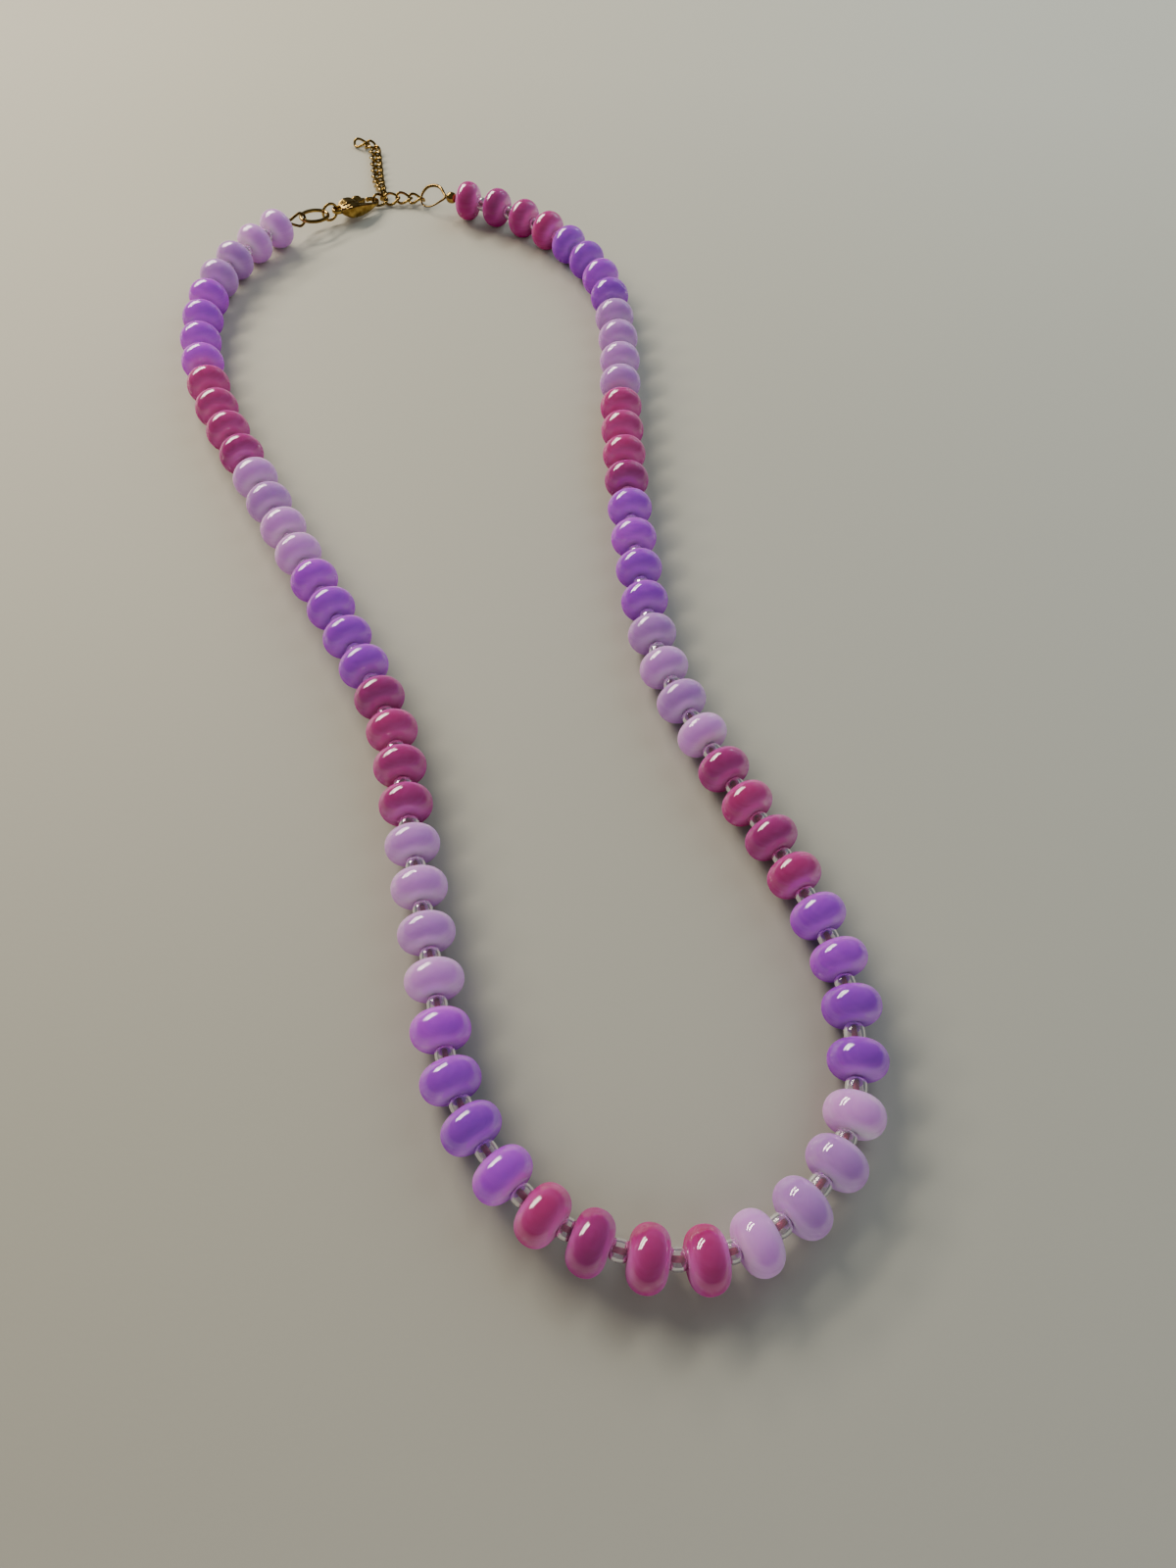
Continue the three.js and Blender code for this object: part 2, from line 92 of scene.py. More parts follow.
def cubic(b, c, start, end, t):
    """The Hermite cubic from b to c with those slopes: b at t = 0 and c at t = 1."""
    third, second = 2 * b - 2 * c + start + end, 3 * c - 3 * b - 2 * start - end
    return third * t**3 + second * t**2 + start * t + b


def slopes(a, b, c, d):
    """Slopes of the centripetal Catmull-Rom span from b to c, whose knots lie apart by the square
    root of the points' distances."""
    ab, bc, cd = (max(np.linalg.norm(q), 1e-4) ** 0.5 for q in (b - a, c - b, d - c))
    start = ((b - a) / ab - (c - a) / (ab + bc) + (c - b) / bc) * bc
    end = ((c - b) / bc - (d - b) / (bc + cd) + (d - c) / cd) * bc
    return start, end


def route_points(route, u):
    """Points of the uniform Catmull-Rom spline through route at parameters u from 0 to 1, with
    a mirrored point added beyond each end."""
    p = np.vstack([2 * route[0] - route[1], route, 2 * route[-1] - route[-2]])
    s = np.asarray(u) * (len(route) - 1)
    i = np.clip(np.floor(s).astype(int), 0, len(route) - 2)
    t = (s - i)[:, None]
    a, b, c, d = p[i], p[i + 1], p[i + 2], p[i + 3]
    return cubic(b, c, 0.5 * (c - a), 0.5 * (d - b), t)


def bead_seats(radius):
    """Centres and hole directions of all the beads: the spline's points at even parameters, and
    its chord over a short step to each side."""
    spans = len(STRAND_ROUTE) - 1
    u = (1 + np.arange(BEAD_COUNT) / (BEAD_COUNT - 1) * (spans - 2)) / spans
    small = 1e-4
    flat = route_points(STRAND_ROUTE, u)
    ways = route_points(STRAND_ROUTE, u + small) - route_points(STRAND_ROUTE, u - small)
    centres = np.column_stack([flat, np.full(BEAD_COUNT, radius)])
    return centres, unit(np.column_stack([ways, np.zeros(BEAD_COUNT)]))


def turned(ways, yaw, pitch):
    """Directions turned by small angles in radians, about the vertical and about the level side."""
    side = unit(np.cross(ways, UP))
    return unit(ways + np.tan(yaw)[:, None] * side + np.tan(pitch)[:, None] * UP)


def grid_faces(rows, columns, wrap_rows=False):
    """Quads of a grid whose columns close on themselves, and its rows too if wrap_rows."""
    i, j = np.meshgrid(np.arange(rows if wrap_rows else rows - 1), np.arange(columns), indexing="ij")
    n, m = (i + 1) % rows, (j + 1) % columns
    quads = np.stack([i * columns + j, i * columns + m, n * columns + m, n * columns + j], axis=-1)
    return quads.reshape(-1, 4)


def make_mesh(name, points, faces, attributes=None):
    """An object at the world's origin from points in millimetres and an array of quads."""
    mesh = bpy.data.meshes.new(name)
    mesh.vertices.add(len(points))
    mesh.vertices.foreach_set("co", ((np.asarray(points) + SHIFT) * MM).astype(np.float32).ravel())
    mesh.loops.add(faces.size)
    mesh.loops.foreach_set("vertex_index", faces.astype(np.int32).ravel())
    mesh.polygons.add(len(faces))
    mesh.polygons.foreach_set("loop_start", np.arange(0, faces.size, 4, dtype=np.int32))
    mesh.update(calc_edges=True)
    mesh.validate()
    mesh.shade_smooth()
    for key, values in (attributes or {}).items():
        kind, field = ("FLOAT", "value") if values.ndim == 1 else ("FLOAT_VECTOR", "vector")
        layer = mesh.attributes.new(key, kind, "POINT")
        layer.data.foreach_set(field, values.astype(np.float32).ravel())
    obj = bpy.data.objects.new(name, mesh)
    bpy.context.scene.collection.objects.link(obj)
    return obj


def circles(first, second, sides):
    """Unit vectors in even steps round each pair of square directions, shaped pair, side, 3."""
    turn = np.linspace(0, 2 * math.pi, sides, endpoint=False)
    return np.cos(turn)[None, :, None] * first[:, None] + np.sin(turn)[None, :, None] * second[:, None]


def turned_beads(profile, centres, ways, sides):
    """Copies of a turned form: its profile, a closed loop of (along, out) pairs of each bead,
    turned in even steps round each bead's hole. Returns points shaped bead, ring, side, 3."""
    level = unit(np.cross(ways, UP))
    round_about = circles(level, np.cross(level, ways), sides)
    along, out = profile[..., 0], profile[..., 1]
    return (
        centres[:, None, None, :]
        + along[:, :, None, None] * ways[:, None, None, :]
        + out[:, :, None, None] * round_about[:, None, :, :]
    )


def bead_faces(count, rings, sides):
    """Quads of count closed turned forms, one after another."""
    one = grid_faces(rings, sides, wrap_rows=True)[:, ::-1]
    return (one[None] + (np.arange(count) * rings * sides)[:, None, None]).reshape(-1, 4)


def powered(value, power):
    """A value to a power, with the value's own sign."""
    return np.sign(value) * np.abs(value) ** power


# The hole's wall in a turned form: its points, its reach as a share of a plain form's half
# length, and its radius as a share of the hole's
WALL_POINTS = 4
WALL_REACH = 0.9
SEED_WALL, STONE_WALL = 0.82, 0.9


def rondelle_profile(radius, half, hole, power, steps):
    """A closed outline of (along, out): the superellipse |along/half|^power + |out/radius|^power
    = 1 from one rim of the hole to the other, a small round at each rim, then the hole's wall."""
    rim = math.acos(min(1.0, (hole / radius) ** (power / 2)))
    turn = np.linspace(rim, -rim, steps)
    along = half * powered(np.sin(turn), 2 / power)
    out = radius * np.abs(np.cos(turn)) ** (2 / power)
    inner_along = np.linspace(-half * WALL_REACH, half * WALL_REACH, WALL_POINTS)
    inner_out = np.full(WALL_POINTS, hole * SEED_WALL)
    return np.column_stack([np.r_[along, inner_along], np.r_[out, inner_out]])


def stone_profile(radius, half, core, hole, power, steps):
    """A closed outline of (along, out): half of a ring whose core lies at the radius core, along
    = half |sin t|^(2/power) and out = core + (radius - core) |cos t|^(2/power), each with the sign
    of its sine or cosine, from the hole's rim over the girdle to the other rim, then the hole's
    wall. Each face is a little hollow round the hole."""
    reach = radius - core
    rim = math.pi / 2 + math.asin(((core - hole) / reach) ** (power / 2))
    turn = np.linspace(rim, -rim, steps)
    along = half * powered(np.sin(turn), 2 / power)
    out = core + reach * powered(np.cos(turn), 2 / power)
    inner_along = np.linspace(along[-1], along[0], WALL_POINTS + 2)[1:-1]
    inner_out = np.full(WALL_POINTS, hole * STONE_WALL)
    return np.column_stack([np.r_[along, inner_along], np.r_[out, inner_out]])


def placed(points, origin, way):
    """Local points in the frame: x along way, y level to its left, z above."""
    left = unit(np.cross(UP, way))
    above = np.cross(way, left)
    return origin + points[:, :1] * way + points[:, 1:2] * left + points[:, 2:3] * above


def oval(length, width, wire, count, roundness=2.0, start_roll=0.0, end_roll=0.0):
    """Centres of a wire bent to a superellipse of that outer size, whose width rolls evenly round
    x from one end to the other."""
    turn = np.linspace(0, 2 * math.pi, count, endpoint=False)
    power = 2 / roundness
    reach = (length - wire) / 2
    x = reach * powered(np.cos(turn), power)
    across = (width - wire) / 2 * powered(np.sin(turn), power)
    roll = np.radians(start_roll + (end_roll - start_roll) * (x / reach + 1) / 2)
    return np.column_stack([x, across * np.cos(roll), across * np.sin(roll)])


def even_loop(points, count):
    """Points at even distances along a closed centripetal Catmull-Rom curve through points."""
    p = np.asarray(points, dtype=float)
    n = len(p)
    fine = []
    for i in range(n):
        a, b, c, d = p[i - 1], p[i], p[(i + 1) % n], p[(i + 2) % n]
        t = np.linspace(0, 1, SPAN_STEPS, endpoint=False)[:, None]
        fine.append(cubic(b, c, *slopes(a, b, c, d), t))
    fine = np.vstack(fine)
    closed = np.vstack([fine, fine[:1]])
    length = np.r_[0, np.cumsum(np.linalg.norm(np.diff(closed, axis=0), axis=1))]
    at = np.linspace(0, length[-1], count, endpoint=False)
    return np.column_stack([np.interp(at, length, closed[:, k]) for k in range(3)])


def closed_wire(centres, wire, sides):
    """A round wire of diameter wire, or one diameter for each centre, along a closed line: rings
    square to the line, each starting on the side away from the loop's middle."""
    n = len(centres)
    way = unit(np.roll(centres, -1, axis=0) - np.roll(centres, 1, axis=0))
    outward = centres - centres.mean(axis=0)
    outward = unit(outward - np.sum(outward * way, axis=1, keepdims=True) * way)
    radius = np.broadcast_to(np.asarray(wire, dtype=float) / 2, (n,))[:, None, None]
    ring = circles(outward, np.cross(way, outward), sides)
    return (centres[:, None] + radius * ring).reshape(-1, 3), grid_faces(n, sides, wrap_rows=True)


# A direction that no wire here follows, and what is left of a wire's radius at its tips
OFF_AXIS = np.array([0.31, 0.17, 0.93])
WIRE_TIP = 0.02


def open_wire(centres, radius, sides):
    """A round wire along an open line: rings square to the line, the first and the last of them
    drawn in almost to a point, each starting square to one fixed direction."""
    way = unit(np.gradient(centres, axis=0))
    level = unit(np.cross(way, OFF_AXIS))
    shrink = np.ones(len(centres))
    shrink[0] = shrink[-1] = WIRE_TIP
    ring = circles(level, np.cross(way, level), sides)
    points = centres[:, None] + (radius * shrink)[:, None, None] * ring
    return points.reshape(-1, 3), grid_faces(len(centres), sides)


# Settings

def length_setting(name, description, millimetres):
    """A setting for a length."""
    return FloatProperty(name=name, description=description, default=millimetres * MM, unit="LENGTH")


def colour_setting(name, description, tone):
    """A setting for a colour."""
    return FloatVectorProperty(name=name, description=description, subtype="COLOR", size=3, default=tone)


class NecklaceStrand(PropertyGroup):
    bead_diameter: length_setting("Bead diameter", "Across a rondelle, square to its hole", 8.0)
    bead_thickness: length_setting("Bead thickness", "Along a rondelle's hole", 5.0)
    bead_hole: length_setting("Bead hole", "Diameter of a rondelle's hole", 1.2)
    bead_core: length_setting(
        "Bead core", "Distance from a rondelle's axis to the middle of its round rim", 1.5)
    bead_power: FloatProperty(
        name="Bead squareness", description="Power of the superellipse that a rondelle is turned from",
        default=2.1)
    seed_diameter: length_setting("Seed bead diameter", "Across the small glass beads", 3.0)
    seed_nesting: length_setting(
        "Seed bead nesting", "How far the small beads reach into the hollow faces", 0.3)
    seed_hole: length_setting("Seed bead hole", "Diameter of the lined hole of the small glass beads", 1.1)
    thread_diameter: length_setting("Thread diameter", "Diameter of the beading wire in the holes", 0.4)
    seed: IntProperty(name="Seed", description="Start of the small variations", default=7)


class NecklaceColours(PropertyGroup):
    # Each stone colour has its own tone; a deep tone, used at the rim and also as painted shade low down
    # and on the side towards the window; and a pale glow tone, painted light where the window's light
    # would shine out
    lilac: colour_setting("Lilac", "Own tone of the lilac stones", (0.687, 0.381, 0.807))
    lilac_rim: colour_setting("Lilac rim", "Deep tone of the lilac stones", (0.503, 0.223, 0.658))
    lilac_glow: colour_setting("Lilac glow", "Pale tone of the lilac stones", (0.855, 0.631, 0.956))
    violet: colour_setting("Violet", "Own tone of the violet stones", (0.565, 0.133, 0.839))
    violet_rim: colour_setting("Violet rim", "Deep tone of the violet stones", (0.262, 0.018, 0.552))
    violet_glow: colour_setting("Violet glow", "Pale tone of the violet stones", (0.631, 0.262, 0.905))
    magenta: colour_setting("Magenta", "Own tone of the magenta stones", (0.527, 0.098, 0.392))
    magenta_rim: colour_setting("Magenta rim", "Deep tone of the magenta stones", (0.305, 0.002, 0.122))
    magenta_glow: colour_setting("Magenta glow", "Pale tone of the magenta stones", (0.761, 0.181, 0.515))
    seed_glass: colour_setting("Seed bead glass", "Tone of the small beads' glass", (0.95, 0.86, 0.95))
    seed_core: colour_setting(
        "Seed bead core", "Tone of the small beads' lined holes", (0.34, 0.015, 0.085))
    gold: colour_setting("Gold", "Tone of the plated hardware", (0.50, 0.33, 0.085))
    bronze: colour_setting("Bronze", "Tone of the duller wires", (0.26, 0.165, 0.045))
    table: colour_setting("Table", "Tone of the table top", (0.57, 0.55, 0.485))


def strand_settings():
    """The strand's sizes."""
    return bpy.context.scene.necklace_strand


def colour_settings():
    """The pieces' tones."""
    return bpy.context.scene.necklace_colours


# Materials

# The share of each colour that is left where the plating is worn
WORN = (0.4, 0.34, 0.25)
# How far the fibres shake the edges of a stone's tones
FIBRE_SHAKE = 0.22
# How brightness and hue go from bead to bead: the change over all tones, and the least value
BEAD_SHADE = (0.36, 0.8)
BEAD_HUE = (0.024, 0.492)
# Plated metal: the noise between which plating goes from worn to whole, and the roughness's
# change over the noise and least value
PLATING = (0.35, 0.62)
METAL_ROUGHNESS = (0.12, 0.06)
THREAD_TONES = ((0.30, 0.22, 0.13), (0.55, 0.43, 0.28))
# The table's warm and cool casts, painted light from the window's side and the room's; the
# places in metres between which it goes from one to the other and from front to back; its
# brightness at front and back, painted shade darker towards the front; and that of its darkest
# patches
TABLE_CASTS = ((1.04, 1.0, 0.91), (0.98, 1.01, 1.02))
TABLE_ACROSS = (-0.09, 0.11)
TABLE_DEEP = (-0.15, 0.17)
TABLE_FADE = (0.74, 1.08)
TABLE_MOTTLE = 0.96


def node_material(name):
    """A new material, its nodes, its links and its Principled shader."""
    material = bpy.data.materials.new(name)
    material.use_nodes = True
    nodes, links = material.node_tree.nodes, material.node_tree.links
    return material, nodes, links, nodes["Principled BSDF"]


def set_inputs(node, values):
    """Sets a node's sockets by name."""
    for key, value in values.items():
        node.inputs[key].default_value = value


def math_node(nodes, links, operation, *values):
    """A Math node; each of its values is a socket or a number."""
    node = nodes.new("ShaderNodeMath")
    node.operation = operation
    for socket, value in zip(node.inputs, values):
        if isinstance(value, bpy.types.NodeSocket):
            links.new(value, socket)
        else:
            socket.default_value = value
    return node.outputs[0]


def mix_colours(nodes, links, factor, first, second, blend="MIX"):
    """A colour mix; each of its three values is a socket, a colour or a number."""
    node = nodes.new("ShaderNodeMix")
    node.data_type = "RGBA"
    node.blend_type = blend
    # Sockets 6 and 7 are the two colours, which share their names with sockets of other kinds
    sockets = node.inputs["Factor"], node.inputs[6], node.inputs[7]
    for socket, value in zip(sockets, (factor, first, second)):
        if isinstance(value, bpy.types.NodeSocket):
            links.new(value, socket)
        elif isinstance(value, (int, float)):
            socket.default_value = value
        else:
            socket.default_value = (*value[:3], 1.0)
    return node.outputs[2]


def noise(nodes, links, vector, scale, detail):
    """Fractal noise from 0 to 1, with about scale waves in a unit of the vector."""
    node = nodes.new("ShaderNodeTexNoise")
    set_inputs(node, {"Scale": scale, "Detail": detail})
    links.new(vector, node.inputs["Vector"])
    return node.outputs["Fac"]


def map_range(nodes, links, value, start, end, low=0.0, high=1.0, kind="LINEAR"):
    """Goes from low at start to high at end, and no further."""
    node = nodes.new("ShaderNodeMapRange")
    node.interpolation_type = kind
    set_inputs(node, {"From Min": start, "From Max": end, "To Min": low, "To Max": high})
    links.new(value, node.inputs["Value"])
    return node.outputs["Result"]


def fine_bump(nodes, links, shader, height, strength, distance):
    """Bumps a shader's surface by a height that is worth that distance in metres."""
    bump = nodes.new("ShaderNodeBump")
    set_inputs(bump, {"Strength": strength, "Distance": distance})
    links.new(height, bump.inputs["Height"])
    links.new(bump.outputs["Normal"], shader.inputs["Normal"])


def stone_material(name, deep, base, glow):
    """Jelly-like stone with light and shade painted into its colour: deep at the rim, painted shade
    low down, its own colour over the faces, and a painted pale glow where light that came in on the
    window's side would shine out. The attribute local holds each point's height, its distance from
    the hole and its bead's own tone, all from 0 to 1. The attribute grain holds a place in a space
    of the bead's own, for faint fibres, and a third attribute holds the painted light: how much
    painted glow there is, below 0 where painted shade deepens the side towards the window."""
    material, nodes, links, shader = node_material(name)

    def attribute(key, output):
        """The mesh's attribute of that name."""
        node = nodes.new("ShaderNodeAttribute")
        node.attribute_name = key
        return node.outputs[output]

    split = nodes.new("ShaderNodeSeparateXYZ")
    links.new(attribute("local", "Vector"), split.inputs[0])
    height, out, tone = split.outputs
    shine = attribute("shine", "Fac")
    fibres = noise(nodes, links, attribute("grain", "Vector"), 1.0, 2.0)
    centred = math_node(nodes, links, "SUBTRACT", fibres, 0.5)
    streak = math_node(nodes, links, "MULTIPLY", centred, FIBRE_SHAKE)

    def ramp(value, start, end):
        """Rises smoothly from 0 at start to 1 at end, a little shaken by the fibres."""
        shaken = math_node(nodes, links, "ADD", value, streak)
        return map_range(nodes, links, shaken, start, end, kind="SMOOTHSTEP")

    # Deep at the rim; painted shade low down and on the side towards the window; painted glow where light
    # would shine out
    rim = math_node(nodes, links, "MULTIPLY", ramp(out, 0.6, 1.05), 0.8)
    low = ramp(math_node(nodes, links, "SUBTRACT", 1.0, height), 0.35, 0.85)
    lit = ramp(math_node(nodes, links, "MULTIPLY", shine, -1.0), 0.0, 0.7)
    dark = math_node(nodes, links, "MAXIMUM", math_node(nodes, links, "MAXIMUM", rim, low), lit)
    colour = mix_colours(nodes, links, ramp(shine, 0.0, 1.0), base, glow)
    colour = mix_colours(nodes, links, dark, colour, deep)
    shade = math_node(nodes, links, "MULTIPLY_ADD", tone, *BEAD_SHADE)
    hue = math_node(nodes, links, "MULTIPLY_ADD", tone, *BEAD_HUE)
    brightness = nodes.new("ShaderNodeHueSaturation")
    links.new(shade, brightness.inputs["Value"])
    links.new(hue, brightness.inputs["Hue"])
    links.new(colour, brightness.inputs["Color"])
    links.new(brightness.outputs["Color"], shader.inputs["Base Color"])
    # The coat is kept to the upper part, so that the lower sides do not mirror the bright table;
    # this stands in for the shade round each bead's foot
    polish = math_node(nodes, links, "MULTIPLY", ramp(height, 0.5, 0.8), 0.85)
    links.new(polish, shader.inputs["Coat Weight"])
    set_inputs(shader, {
        "Roughness": 0.2, "IOR": 1.25, "Specular IOR Level": 0.0, "Subsurface Weight": 1.0,
        "Subsurface Scale": 0.006, "Subsurface Radius": (1.0, 0.6, 0.95),
        "Transmission Weight": 0.08, "Coat Roughness": 0.012, "Coat IOR": 2.1,
    })
    return material


def seed_glass_material(tone):
    """Clear, faintly tinted glass."""
    material, _, _, shader = node_material("seed_glass")
    set_inputs(shader, {
        "Base Color": (*tone, 1.0), "Roughness": 0.03, "IOR": 1.5, "Transmission Weight": 0.9,
        "Coat Weight": 0.5, "Coat Roughness": 0.02,
    })
    return material


def seed_core_material(tone):
    """The shiny dark lining of the small beads' holes."""
    material, _, _, shader = node_material("seed_core")
    set_inputs(shader, {"Base Color": (*tone, 1.0), "Metallic": 0.15, "Roughness": 0.35})
    return material


def gold_material(name, tone):
    """Plated metal: fine wear in roughness, and browner, darker tone where the plating is thin."""
    material, nodes, links, shader = node_material(name)
    place = nodes.new("ShaderNodeTexCoord")
    wear = noise(nodes, links, place.outputs["Object"], 700.0, 4.0)
    fine = noise(nodes, links, place.outputs["Object"], 4200.0, 2.0)
    worn = map_range(nodes, links, wear, *PLATING)
    thin = tuple(c * k for c, k in zip(tone, WORN))
    colour = mix_colours(nodes, links, worn, thin, tone)
    links.new(colour, shader.inputs["Base Color"])
    rough = math_node(nodes, links, "MULTIPLY_ADD", wear, *METAL_ROUGHNESS)
    links.new(rough, shader.inputs["Roughness"])
    fine_bump(nodes, links, shader, fine, 0.04, 0.00002)
    set_inputs(shader, {"Metallic": 1.0})
    return material


def thread_material():
    """Coated beading wire, with fine changes of tone."""
    material, nodes, links, shader = node_material("beading_wire")
    place = nodes.new("ShaderNodeTexCoord")
    strands = noise(nodes, links, place.outputs["Object"], 6000.0, 1.0)
    colour = mix_colours(nodes, links, strands, *THREAD_TONES)
    links.new(colour, shader.inputs["Base Color"])
    set_inputs(shader, {"Metallic": 0.6, "Roughness": 0.35})
    return material


def table_material(tone):
    """A smooth painted table top with light and shade painted into its colour: a warm cast of painted
    light on the window's side and a cool one on the other, painted shade darker towards the front,
    and broad, faint changes of tone and a very fine texture."""
    material, nodes, links, shader = node_material("table_top")
    place = nodes.new("ShaderNodeTexCoord")
    broad = noise(nodes, links, place.outputs["Object"], 6.0, 2.0)
    fine = noise(nodes, links, place.outputs["Object"], 1400.0, 3.0)
    tint = mix_colours(nodes, links, broad, tuple(c * TABLE_MOTTLE for c in tone), tone)
    split = nodes.new("ShaderNodeSeparateXYZ")
    links.new(place.outputs["Object"], split.inputs[0])
    # Painted light: a warm cast on the window's side, a cool one on the other
    cool = map_range(nodes, links, split.outputs["X"], *TABLE_ACROSS)
    cast = mix_colours(nodes, links, cool, *TABLE_CASTS)
    tint = mix_colours(nodes, links, 1.0, tint, cast, "MULTIPLY")
    # Painted shade: darker towards the front
    fade = map_range(nodes, links, split.outputs["Y"], *TABLE_DEEP, *TABLE_FADE)
    shade = nodes.new("ShaderNodeHueSaturation")
    links.new(tint, shade.inputs["Color"])
    links.new(fade, shade.inputs["Value"])
    links.new(shade.outputs["Color"], shader.inputs["Base Color"])
    fine_bump(nodes, links, shader, fine, 0.06, 0.0002)
    set_inputs(shader, {"Roughness": 0.55, "Specular IOR Level": 0.3})
    return material


def within(points, node):
    """Points in millimetres, shrunk about the middle of a CAD node's box along each axis where
    they would reach out of it."""
    low, high = (np.array(corner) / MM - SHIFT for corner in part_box(node))
    middle, half = (low + high) / 2, (high - low) / 2
    return middle + (points - middle) * np.minimum(1.0, half / np.abs(points - middle).max(axis=0))


def finish_piece(obj, material, slot, body, *nodes):
    """Gives a piece its material and body, and hides the CAD nodes that it stands for. Its slot
    is not used.
    """
    obj.data.materials.clear()
    obj.data.materials.append(material)
    if nodes:
        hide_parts(*nodes)
    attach(obj, body)


def shared_metal(name, tone):
    """A metal material of that name, made on first use."""
    return bpy.data.materials.get(name) or gold_material(name, tuple(tone))


def gold():
    """The clasp's, the rings' and the chain's metal."""
    return shared_metal("plated_gold", colour_settings().gold)


def bronze():
    """The duller wires' metal."""
    return shared_metal("dull_gold", colour_settings().bronze)


# The strand

# The level way in which the window's light travels, along which light and shade are painted
# into the stones
LIGHT_WAY = np.array([0.5, -0.866, 0.0])
RONDELLE_STEPS = 30
RONDELLE_SIDES = 44
SEED_STEPS = 13
LINING_SIDES = 16
SEED_SIDES = 24
# A stone's painted glow round its hole, painted light where the window's light would shine out:
# its reach and its fade as shares of the radius, its share on the face towards the window, and
# how soon it is full on the other
GLOW_OUT, GLOW_FADE, GLOW_LEAST, FACE_GAIN = 0.92, 0.75, 0.2, 1.4
# Painted light and shade: how much paler the side away from the window is painted, and how much
# deeper the side towards it
SIDE_PALER, SIDE_DEEPER = 0.3, 0.95
# The fibres' space is drawn out level and pressed together upright
GRAIN_STRETCH = np.array([0.35, 0.35, 2.2])
SEED_POWER = 3.2
# How far the small beads hang below the stones' middle, in millimetres
SEED_SAG = 0.15
# A small bead's lining: half its length as a share of the bead's, its inner radius in
# millimetres, and its outer radius as a share of the hole's, so that no air is left between them
LINING_HALF, LINING_INNER, LINING_WIDER = 0.45, 0.05, 1.15
# The thread's ends lie this share of the way from the route's end points to their neighbours
THREAD_START, THREAD_STEPS, THREAD_SIDES = 0.995, 720, 8


def bead_variation(random):
    """Sizes, tilts and tones of the beads, drawn once for the whole strand."""
    return {
        "size": random.uniform(0.982, 0.997, BEAD_COUNT),
        "thickness": random.uniform(0.95, 1.0, BEAD_COUNT),
        "yaw": np.radians(random.uniform(-2.0, 2.0, BEAD_COUNT)),
        "pitch": np.radians(random.uniform(-1.5, 1.5, BEAD_COUNT)),
        "tone": random.uniform(0.0, 1.0, BEAD_COUNT),
        "grain": random.uniform(0.0, 50.0, (BEAD_COUNT, 3)),
    }


class NECKLACE_OT_stones(Operator):
    """Builds the 72 rondelles, one piece for each colour and half of the strand"""
    bl_idname = "necklace.stones"
    bl_label = "Stone beads"

    def execute(self, context):
        sizes, tones = strand_settings(), colour_settings()
        radius = sizes.bead_diameter / MM / 2
        half = sizes.bead_thickness / MM / 2
        hole = sizes.bead_hole / MM / 2
        vary = bead_variation(np.random.default_rng(sizes.seed))
        centres, ways = bead_seats(radius)
        ways = turned(ways, vary["yaw"], vary["pitch"])
        centres[:, 2] = radius * vary["size"]
        core = sizes.bead_core / MM
        outline = stone_profile(radius, half, core, hole, sizes.bead_power, RONDELLE_STEPS)
        profiles = outline[None] * np.stack([vary["thickness"], vary["size"]], axis=-1)[:, None, :]
        points = turned_beads(profiles, centres, ways, RONDELLE_SIDES)
        # Each bead stands on the table whatever its tilt
        points[..., 2] -= points[..., 2].min(axis=(1, 2))[:, None, None]
        height = points[..., 2] / (2 * radius)
        out = np.broadcast_to((profiles[..., 1] / radius)[..., None], height.shape)
        tone = np.broadcast_to(vary["tone"][:, None, None], height.shape)
        local = np.stack([height, out, tone], axis=-1)
        # Painted light: a pale glow on each bead's face away from the window, most of all near the
        # hole, where light that came in on the window's side would shine out
        face = np.clip(profiles[..., 0] / half * FACE_GAIN, -1, 1) * (ways @ LIGHT_WAY)[:, None]
        near = np.clip((GLOW_OUT - profiles[..., 1] / radius) / GLOW_FADE, 0, 1)
        share = GLOW_LEAST + (1 - GLOW_LEAST) * np.clip(face * FACE_GAIN, 0, 1)
        shine = np.clip(near * share, 0, 1)
        # Painted light and shade: the side towards the window is painted deeper, and the side away
        # from it paler
        offset = points - centres[:, None, None, :]
        side = np.clip(offset @ LIGHT_WAY / radius, -1, 1)
        shine = shine[..., None] + SIDE_PALER * np.clip(side, 0, 1) - SIDE_DEEPER * np.clip(-side, 0, 1)
        grain = offset * GRAIN_STRETCH + vary["grain"][:, None, None, :]
        index = np.arange(BEAD_COUNT)
        colour_of = (index // GROUP) % len(COLOURS)
        halves = (("left", index < BEAD_COUNT // 2), ("right", index >= BEAD_COUNT // 2))
        rings = profiles.shape[1]
        for number, colour in enumerate(COLOURS):
            deep, base, glow = (tuple(getattr(tones, colour + kind)) for kind in ("_rim", "", "_glow"))
            material = stone_material(f"stone_{colour}", deep, base, glow)
            for half_name, in_half in halves:
                chosen = in_half & (colour_of == number)
                obj = make_mesh(
                    f"stones_{colour}_{half_name}",
                    points[chosen].reshape(-1, 3),
                    bead_faces(int(chosen.sum()), rings, RONDELLE_SIDES),
                    {"local": local[chosen].reshape(-1, 3), "grain": grain[chosen].reshape(-1, 3),
                     "shine": shine[chosen].ravel()})
                finish_piece(obj, material, "stone", BODY, f"bead_string_{half_name}")
        return {"FINISHED"}


